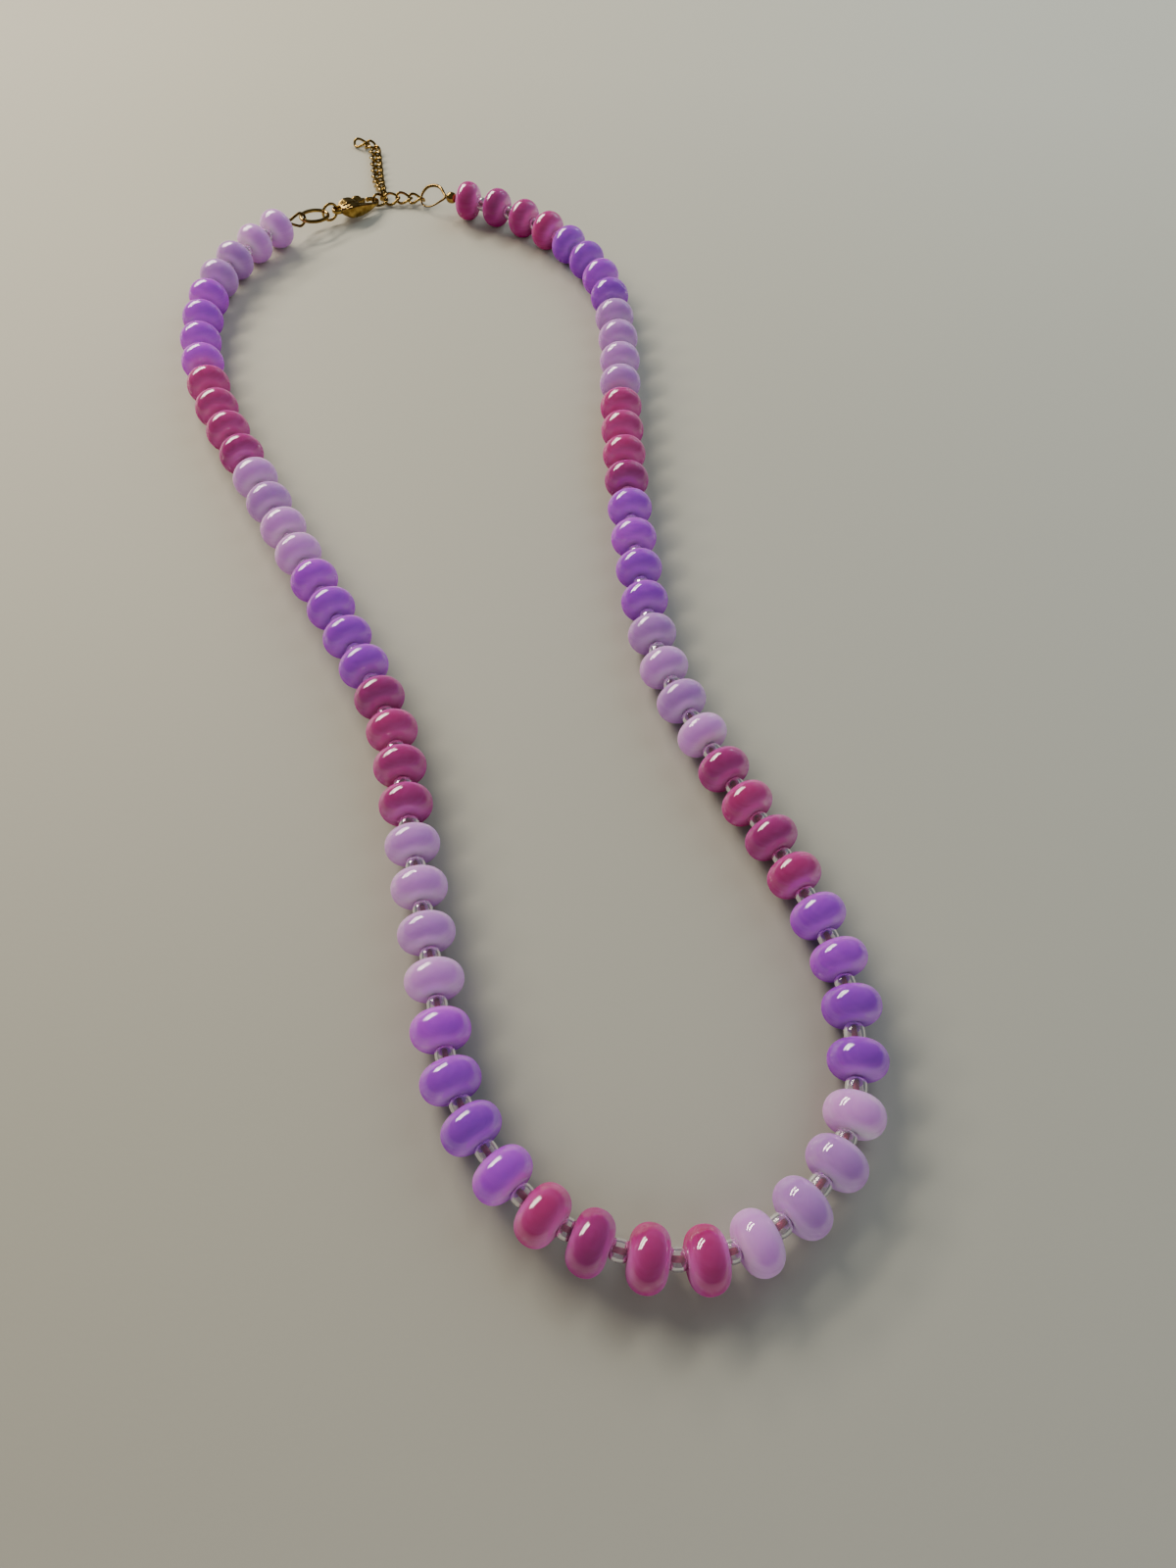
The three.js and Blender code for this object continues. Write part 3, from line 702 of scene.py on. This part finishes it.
class NECKLACE_OT_seed_beads(Operator):
    """Builds the small glass seed beads between the rondelles"""
    bl_idname = "necklace.seed_beads"
    bl_label = "Seed beads"

    def execute(self, context):
        sizes, tones = strand_settings(), colour_settings()
        radius = sizes.bead_diameter / MM / 2
        centres, ways = bead_seats(radius)
        middle = (centres[1:] + centres[:-1]) / 2
        between = unit(centres[1:] - centres[:-1])
        room = np.linalg.norm(centres[1:] - centres[:-1], axis=1) - sizes.bead_thickness / MM
        random = np.random.default_rng(sizes.seed + 1)
        count = len(middle)
        length = (room + 2 * sizes.seed_nesting / MM) * random.uniform(0.96, 1.0, count)
        across = random.uniform(0.93, 1.0, count)
        hole = sizes.seed_hole / MM / 2
        # Outlines of a bead 1 mm long, which each bead's own length and width then stretch
        glass = rondelle_profile(sizes.seed_diameter / MM / 2, 0.5, hole, SEED_POWER, SEED_STEPS)
        half, inner, wall = LINING_HALF, LINING_INNER, hole * LINING_WIDER
        lining = np.array([[-half, inner], [-half, wall], [half, wall], [half, inner]])
        stretch = np.stack([length, across], axis=-1)[:, None, :]
        middle[:, 2] -= SEED_SAG
        parts = (
            ("seed_beads", glass, SEED_SIDES, seed_glass_material(tuple(tones.seed_glass))),
            ("seed_linings", lining, LINING_SIDES, seed_core_material(tuple(tones.seed_core))),
        )
        split = count // 2 + 1
        for half_name, chosen in (("left", slice(0, split)), ("right", slice(split, count))):
            for name, outline, sides, material in parts:
                profiles = outline[None] * stretch[chosen]
                points = turned_beads(profiles, middle[chosen], between[chosen], sides)
                faces = bead_faces(len(points), len(outline), sides)
                obj = make_mesh(f"{name}_{half_name}", points.reshape(-1, 3), faces)
                finish_piece(obj, material, "stone", BODY)
        return {"FINISHED"}


class NECKLACE_OT_thread(Operator):
    """Builds the beading wire that runs through every hole"""
    bl_idname = "necklace.thread"
    bl_label = "Thread"

    def execute(self, context):
        sizes = strand_settings()
        radius = sizes.bead_diameter / MM / 2
        spans = len(STRAND_ROUTE) - 1
        u = np.linspace(THREAD_START / spans, 1 - THREAD_START / spans, THREAD_STEPS)
        flat = route_points(STRAND_ROUTE, u)
        line = np.column_stack([flat, np.full(len(u), radius)])
        points, faces = open_wire(line, sizes.thread_diameter / MM / 2, THREAD_SIDES)
        finish_piece(make_mesh("thread", points, faces), thread_material(), "gold", BODY)
        return {"FINISHED"}


# The hardware, in the same sizes as the frame

GAP = 0.3
BEAD_RADIUS, BEAD_HALF = 4.0, 2.5
GUARDIAN_LENGTH, GUARDIAN_WIDTH, GUARDIAN_WIRE = 5.2, 3.4, 0.6
JUMP_RING_LENGTH, JUMP_RING_WIDTH, JUMP_RING_WIRE = 7.2, 5.6, 0.8
CLASP_RING_DIAMETER, CLASP_RING_WIRE = 4.2, 0.6
END_LOOP_WIDTH, END_LOOP_WIRE = 5.8, 0.6
CRIMP_DIAMETER = 2.4
LINK_LENGTH, LINK_WIDTH, LINK_WIRE, LINK_ROUNDNESS, LINK_QUARTER = 4.15, 3.1, 0.5, 2.4, 45
CLASP_LENGTH, HOOK_REACH, HOOK_BAR, EYELET_WALL = 12.0, 0.85, 0.85, 0.6
CLASP_HEADING, CLASP_SLOPE = 41.9, -6
CLASP_WAY = direction(CLASP_HEADING, CLASP_SLOPE)
WIRE_STEPS, WIRE_SIDES = 72, 14


def hardware_places():
    """Where the hardware stands, worked out as in the frame, in millimetres."""
    centres, ways = bead_seats(BEAD_RADIUS)
    start = centres[0] - ways[0] * BEAD_HALF
    guardian = GAP
    jump = guardian + GUARDIAN_LENGTH - GUARDIAN_WIRE - GAP - JUMP_RING_WIRE
    ring = jump + JUMP_RING_LENGTH - JUMP_RING_WIRE - GAP - CLASP_RING_WIRE
    clasp = ring + CLASP_RING_DIAMETER - CLASP_RING_WIRE - EYELET_WALL - GAP
    return {
        "guardian": start + CLASP_WAY * guardian,
        "jump_ring": start + CLASP_WAY * (jump + JUMP_RING_LENGTH / 2),
        "clasp_ring": start + CLASP_WAY * (ring + CLASP_RING_DIAMETER / 2),
        "clasp": start + CLASP_WAY * clasp,
        "crimp": centres[-1] + ways[-1] * (BEAD_HALF + GAP + CRIMP_DIAMETER / 2),
        "last_way": ways[-1],
    }


GUARDIAN_OUTLINE = [
    [0, 0.1], [0.2, 0.17], [0.45, 0.36], [0.72, 0.5], [0.93, 0.3],
    [1, 0], [0.93, -0.3], [0.72, -0.5], [0.45, -0.36], [0.2, -0.17], [0, -0.1],
]


class NECKLACE_OT_clasp_side(Operator):
    """Builds the wire guardian, the jump ring and the clasp's ring"""
    bl_idname = "necklace.clasp_side"
    bl_label = "Rings on the clasp's side"

    def execute(self, context):
        at = hardware_places()
        length, width = GUARDIAN_LENGTH - GUARDIAN_WIRE, GUARDIAN_WIDTH - GUARDIAN_WIRE
        corners = [[GUARDIAN_WIRE / 2 + x * length, 0, z * width] for x, z in GUARDIAN_OUTLINE]
        guardian = even_loop(corners, WIRE_STEPS)
        jump_ring = oval(JUMP_RING_LENGTH, JUMP_RING_WIDTH, JUMP_RING_WIRE, WIRE_STEPS)
        # The clasp's ring stands upright between its two neighbours, which lie
        across = CLASP_RING_DIAMETER
        clasp_ring = oval(across, across, CLASP_RING_WIRE, WIRE_STEPS, start_roll=90, end_roll=90)
        pieces = [
            ("guardian", guardian, "guardian", GUARDIAN_WIRE, "wire_guardian_left"),
            ("jump_ring_wire", jump_ring, "jump_ring", JUMP_RING_WIRE, "jump_ring"),
            ("clasp_ring_wire", clasp_ring, "clasp_ring", CLASP_RING_WIRE, "clasp_ring"),
        ]
        for name, line, place, wire, node in pieces:
            points, faces = closed_wire(placed(line, at[place], CLASP_WAY), wire, WIRE_SIDES)
            material = bronze() if place == "guardian" else gold()
            finish_piece(make_mesh(name, within(points, node), faces), material, "gold", BODY, node)
        return {"FINISHED"}


# Voxel in metres and smoothings of the casting and of the lever, and the smoothing's strength
CASTING_GRAIN = (0.00009, 34)
LEVER_GRAIN = (0.00008, 5)
CAST_SMOOTHING = 0.6
# The casting's grooves: depth, place across at the eyelet, change of place along the clasp, and
# width; where along the clasp they fade in and out, and over what length; and how near to the
# clasp's middle plane they leave it alone. All in millimetres.
GROOVES = ((0.28, -0.35, -0.05, 0.2), (0.2, -1.75, 0.0, 0.17))
GROOVE_START, GROOVE_END = (2.2, 1.2), (9.5, 1.5)
GROOVE_KEEPS = 0.4


def cast_copy(name, node, voxel, smooth):
    """A CAD node's form with its edges worn round: rebuilt in small voxels, then smoothed."""
    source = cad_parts[node]
    obj = bpy.data.objects.new(name, source.data.copy())
    obj.matrix_world = source.matrix_world.copy()
    bpy.context.scene.collection.objects.link(obj)
    rebuild = obj.modifiers.new("rebuild", "REMESH")
    rebuild.mode = "VOXEL"
    rebuild.voxel_size = voxel
    wear = obj.modifiers.new("wear", "SMOOTH")
    wear.factor = CAST_SMOOTHING
    wear.iterations = smooth
    bpy.context.view_layer.update()
    done = bpy.data.meshes.new_from_object(obj.evaluated_get(bpy.context.evaluated_depsgraph_get()))
    done.transform(source.matrix_world)
    obj.modifiers.clear()
    obj.data = done
    obj.matrix_world = Matrix()
    done.shade_smooth()
    return obj


class NECKLACE_OT_clasp(Operator):
    """Builds the lobster clasp's cast body and its thumb lever"""
    bl_idname = "necklace.clasp"
    bl_label = "Lobster clasp"

    def execute(self, context):
        body = cast_copy("clasp_casting", "clasp_body", *CASTING_GRAIN)
        at = hardware_places()["clasp"]
        left = unit(np.cross(UP, CLASP_WAY))
        above = np.cross(CLASP_WAY, left)
        co = np.empty(len(body.data.vertices) * 3, dtype=np.float32)
        body.data.vertices.foreach_get("co", co)
        p = co.reshape(-1, 3) / MM - SHIFT - at
        u, v, w = p @ CLASP_WAY, p @ left, p @ above
        # Two grooves along the casting, each a Gaussian dip that fades out at both ends
        (start, rise), (end, fall) = GROOVE_START, GROOVE_END
        fade = np.clip((u - start) / rise, 0, 1) * np.clip((end - u) / fall, 0, 1)
        dip = 0
        for depth, place, drift, width in GROOVES:
            dip = dip + depth * np.exp(-(((v - place - drift * u) / width) ** 2))
        w = w - np.sign(w) * dip * fade * np.clip((np.abs(w) - GROOVE_KEEPS) / GROOVE_KEEPS, 0, 1)
        moved = SHIFT + at + u[:, None] * CLASP_WAY + v[:, None] * left + w[:, None] * above
        body.data.vertices.foreach_set("co", (moved * MM).astype(np.float32).ravel())
        body.data.update()
        finish_piece(body, gold(), "gold", BODY, "clasp_body")
        lever = cast_copy("clasp_thumb_lever", "clasp_lever", *LEVER_GRAIN)
        finish_piece(lever, gold(), "gold", LEVER_BODY, "clasp_lever")
        return {"FINISHED"}


HOOK_ROLL, HOOKED_LINK_ROLL = 42, 47
HELD_LINKS = [(12, 5, 30), (8, -3, 14), (-6, 0, -10)]
TAIL_HEADING = 105
TAIL_ROLLS = [68, 38, 18, 5]
TAIL_ROUTE = [
    [-32.4, 104.4, 1.35], [-33.7, 108.2, 0.98], [-34.8, 113.2, 0.84], [-35.9, 118.4, 0.9],
    [-36.7, 122.1, 0.9], [-37.5, 124.4, 0.9], [-39.6, 125.6, 0.9], [-43.9, 125.4, 0.9],
]
# The links' wire is drawn a little stouter, inwards, than in the frame
LINK_LOOK_WIRE = 0.6
LINK_REACH = (LINK_LENGTH - LINK_WIRE) / 2
LINK_PITCH = 2 * LINK_REACH - LINK_WIRE - GAP
LINK_STEPS, LINK_SIDES = 44, 12
# Fine points along the tail's route, from which its links' ends are taken
TAIL_STEPS = 400


def link_wire(centre, way, before, after):
    """One twisted link's wire, as points and quads."""
    rolls = before + LINK_QUARTER, after - LINK_QUARTER
    line = oval(LINK_LENGTH, LINK_WIDTH, LINK_LOOK_WIRE, LINK_STEPS, LINK_ROUNDNESS, *rolls)
    return closed_wire(placed(line, centre, way), LINK_LOOK_WIRE, LINK_SIDES)


def chain_layout():
    """The name, centre, direction and rolls of every link, and where the held links end. The
    hooked link lies in line with the clasp; the held links and the free tail leave its oval end."""
    clasp = hardware_places()["clasp"]
    hook = clasp + CLASP_WAY * (CLASP_LENGTH - HOOK_REACH - HOOK_BAR)
    hooked = hook + CLASP_WAY * (HOOK_REACH - GAP - LINK_WIRE / 2 + LINK_REACH)
    left = unit(np.cross(UP, CLASP_WAY))
    above = np.cross(CLASP_WAY, left)
    half = (LINK_WIDTH - LINK_WIRE) / 2
    links = [("chain_link_1", hooked, CLASP_WAY, HOOK_ROLL, HOOKED_LINK_ROLL)]

    def leaving(heading):
        """Where the middle of a link's wire starts that leaves the hooked link's oval end with
        that heading: the superellipse's point whose normal has it, one gap inside."""
        turn = math.radians(heading - CLASP_HEADING)
        ratio = (abs(math.tan(turn)) * half / LINK_REACH) ** (1 / (LINK_ROUNDNESS - 1))
        share = (1 + ratio**LINK_ROUNDNESS) ** (-1 / LINK_ROUNDNESS)
        aside = math.copysign(ratio * share * half, turn)
        twist = HOOKED_LINK_ROLL - HOOK_ROLL - 2 * LINK_QUARTER
        roll = math.radians(HOOK_ROLL + LINK_QUARTER + twist * (1 + share) / 2)
        return (hooked + CLASP_WAY * share * LINK_REACH + left * aside * math.cos(roll)
                + above * aside * math.sin(roll) - direction(heading, 0) * (LINK_WIRE + GAP) / 2)

    end, before = leaving(HELD_LINKS[0][0]), HOOKED_LINK_ROLL
    for i, (heading, slope, roll) in enumerate(HELD_LINKS):
        way = direction(heading, slope)
        links.append((f"chain_link_{i + 2}", end + way * LINK_PITCH / 2, way, before, roll))
        end, before = end + way * LINK_PITCH, roll
    far = end + way * (LINK_WIRE / 2 - (GAP + END_LOOP_WIRE) / 2)
    route = np.vstack([leaving(TAIL_HEADING), TAIL_ROUTE])
    fine = even_open(route, TAIL_STEPS)
    step = np.r_[0, np.cumsum(np.linalg.norm(np.diff(fine, axis=0), axis=1))]
    count = int(step[-1] // LINK_PITCH)
    ends = np.arange(count + 1) * LINK_PITCH
    knots = np.column_stack([np.interp(ends, step, fine[:, k]) for k in range(3)])
    rolls = TAIL_ROLLS + [0] * (count + 1)
    for i in range(count):
        way = unit(knots[i + 1] - knots[i])
        links.append((f"chain_tail_{i + 1}", (knots[i] + knots[i + 1]) / 2, way, rolls[i], rolls[i + 1]))
    return links, far


def even_open(points, count):
    """Fine points along an open centripetal Catmull-Rom curve, with mirrored ends."""
    p = np.vstack([2 * points[0] - points[1], points, 2 * points[-1] - points[-2]])
    t = np.linspace(0, 1, count // (len(points) - 1))[:, None]
    pieces = []
    for a, b, c, d in zip(p[:-3], p[1:-2], p[2:-1], p[3:]):
        pieces.append(cubic(b, c, *slopes(a, b, c, d), t))
    return np.vstack(pieces)


class NECKLACE_OT_chain(Operator):
    """Builds the extender chain's twisted links"""
    bl_idname = "necklace.chain"
    bl_label = "Extender chain"

    def execute(self, context):
        links, _ = chain_layout()
        for name, centre, way, before, after in links:
            points, faces = link_wire(centre, way, before, after)
            obj = make_mesh(f"{name}_wire", within(points, name), faces)
            finish_piece(obj, gold(), "gold", BODY, name)
        return {"FINISHED"}


END_LOOP_OUTLINE = [
    [0, 0], [0.13, 0.2], [0.34, 0.42], [0.62, 0.5], [0.88, 0.4], [1, 0.14],
    [1, -0.14], [0.9, -0.36], [0.68, -0.5], [0.42, -0.45], [0.19, -0.25],
]
END_LOOP_HELD = 0.2
END_LOOP_LEAN = 28
END_LOOP_STEPS = 96
# The loop's wire, as shares of its size: the mean, how far it swells and thins, and where along
# the loop it is stoutest
END_LOOP_SWELL = (0.95, 0.35, 0.25)
# The crimp: half its length as a share of its radius, its hole's radius in millimetres, its
# squareness, steps and sides
CRIMP_SHARE, CRIMP_HOLE, CRIMP_POWER, CRIMP_STEPS, CRIMP_SIDES = 0.98, 0.3, 2.3, 19, 32


class NECKLACE_OT_end_loop(Operator):
    """Builds the big wire loop and the crimp at the strand's other end"""
    bl_idname = "necklace.end_loop"
    bl_label = "End loop and crimp"

    def execute(self, context):
        at = hardware_places()
        _, far = chain_layout()
        lean = math.radians(END_LOOP_LEAN)
        rise = np.array([0, math.cos(lean), math.sin(lean)])
        span = END_LOOP_WIDTH - END_LOOP_WIRE
        tip = far + rise * END_LOOP_HELD * span
        way = unit(tip - at["crimp"])
        near = at["crimp"] + way * (CRIMP_DIAMETER / 2 + GAP + END_LOOP_WIRE / 2)
        rise = unit(rise - way * np.dot(rise, way))
        length = np.linalg.norm(tip - near)
        corners = [near + way * a * length + rise * b * span for a, b in END_LOOP_OUTLINE]
        line = even_loop(corners, END_LOOP_STEPS)
        share = np.linspace(0, 1, END_LOOP_STEPS, endpoint=False)
        mean, swell, stoutest = END_LOOP_SWELL
        thickness = END_LOOP_WIRE * (mean + swell * np.cos(2 * math.pi * (share - stoutest)))
        points, faces = closed_wire(line, thickness, WIRE_SIDES)
        obj = make_mesh("end_loop_wire", within(points, "end_loop_right"), faces)
        finish_piece(obj, bronze(), "gold", BODY, "end_loop_right")
        radius = CRIMP_DIAMETER / 2
        outline = rondelle_profile(radius, radius * CRIMP_SHARE, CRIMP_HOLE, CRIMP_POWER, CRIMP_STEPS)
        points = turned_beads(outline[None], at["crimp"][None], at["last_way"][None], CRIMP_SIDES)
        obj = make_mesh("crimp", points.reshape(-1, 3), bead_faces(1, len(outline), CRIMP_SIDES))
        finish_piece(obj, gold(), "gold", BODY, "crimp_right")
        return {"FINISHED"}


# The stage

# The camera: its place and lens in millimetres, its tilt down and its roll in degrees
CAMERA_AT = (23.4, -146.1, 139.14)
CAMERA_TILT, CAMERA_ROLL = 56.944, 3.277
CAMERA_LENS = 24.95
SENSOR = 36.0
CLIP_START = 0.01
FLOOR_HALF = 2500.0
WINDOW_TONE = (1.0, 0.92, 0.76)
WORLD_TONE, WORLD_STRENGTH = (0.86, 0.90, 0.96, 1.0), 0.12
# Lamps: name, place and target in metres, width, height, power in watts, tone, and whether
# glossy surfaces mirror it
LAMPS = (
    ("window_low", (-0.68, 0.60, 0.50), (0, 0, 0), 0.9, 0.09, 6.2, WINDOW_TONE, True),
    ("window_high", (-0.56, 0.57, 0.70), (0, 0, 0), 0.8, 0.11, 7.8, WINDOW_TONE, True),
    ("fill", (0.12, -0.62, 0.34), (0, 0, 0), 0.5, 0.5, 1.3, (1.0, 0.97, 0.98), False),
    ("room", (0.46, 0.62, 0.5), (0.05, 0.05, 0), 0.7, 0.7, 3.8, (0.76, 0.93, 1.0), False),
)


def area_light(name, location, target, size, size_y, power, colour, mirrored):
    """A rectangular lamp at a place in metres that faces a target."""
    data = bpy.data.lights.new(name, "AREA")
    data.shape = "RECTANGLE"
    data.size, data.size_y = size, size_y
    data.energy, data.color = power, colour
    obj = bpy.data.objects.new(name, data)
    obj.location = location
    obj.rotation_euler = (Vector(target) - Vector(location)).to_track_quat("-Z", "Y").to_euler()
    obj.visible_glossy = mirrored
    bpy.context.scene.collection.objects.link(obj)


class NECKLACE_OT_stage(Operator):
    """Builds the table, the soft lamps and the camera"""
    bl_idname = "necklace.stage"
    bl_label = "Stage"

    def execute(self, context):
        scene = context.scene
        half = FLOOR_HALF
        corners = np.array([[-half, -half, 0], [half, -half, 0], [half, half, 0], [-half, half, 0]])
        floor = make_mesh("table", corners, np.array([[0, 1, 2, 3]]))
        floor.data.materials.append(table_material(tuple(colour_settings().table)))
        for lamp in LAMPS:
            area_light(*lamp)
        world = scene.world or bpy.data.worlds.new("world")
        scene.world = world
        world.use_nodes = True
        background = world.node_tree.nodes["Background"]
        set_inputs(background, {"Color": WORLD_TONE, "Strength": WORLD_STRENGTH})
        tilt, roll = math.radians(CAMERA_TILT), math.radians(CAMERA_ROLL)
        forward = Vector((0, math.cos(tilt), -math.sin(tilt)))
        level_up = Vector((0, math.sin(tilt), math.cos(tilt)))
        right = Vector((math.cos(roll), 0, 0)) + level_up * math.sin(roll)
        up = level_up * math.cos(roll) - Vector((math.sin(roll), 0, 0))
        data = bpy.data.cameras.new("camera")
        data.lens, data.sensor_width, data.clip_start = CAMERA_LENS, SENSOR, CLIP_START
        camera = bpy.data.objects.new("camera", data)
        camera.matrix_world = Matrix.Translation(Vector(CAMERA_AT) * MM) @ Matrix(
            (right, up, -forward)).transposed().to_4x4()
        scene.collection.objects.link(camera)
        scene.camera = camera
        return {"FINISHED"}


class NECKLACE_PT_panel(Panel):
    """Lists the necklace's pieces"""
    bl_idname = "NECKLACE_PT_panel"
    bl_label = "Necklace"
    bl_space_type = "VIEW_3D"
    bl_region_type = "UI"
    bl_category = "Necklace"

    def draw(self, context):
        for operator in OPERATORS:
            self.layout.operator(operator.bl_idname)


OPERATORS = (
    NECKLACE_OT_stones, NECKLACE_OT_seed_beads, NECKLACE_OT_thread, NECKLACE_OT_clasp_side,
    NECKLACE_OT_clasp, NECKLACE_OT_chain, NECKLACE_OT_end_loop, NECKLACE_OT_stage,
)
CLASSES = (NecklaceStrand, NecklaceColours, *OPERATORS, NECKLACE_PT_panel)


def register():
    for cls in CLASSES:
        bpy.utils.register_class(cls)
    bpy.types.Scene.necklace_strand = PointerProperty(type=NecklaceStrand)
    bpy.types.Scene.necklace_colours = PointerProperty(type=NecklaceColours)


def unregister():
    del bpy.types.Scene.necklace_colours
    del bpy.types.Scene.necklace_strand
    for cls in reversed(CLASSES):
        bpy.utils.unregister_class(cls)


def main():
    """Builds every piece in order through its operator."""
    register()
    for operator in OPERATORS:
        group, name = operator.bl_idname.split(".")
        getattr(getattr(bpy.ops, group), name)()


if __name__ == "__main__":
    main()
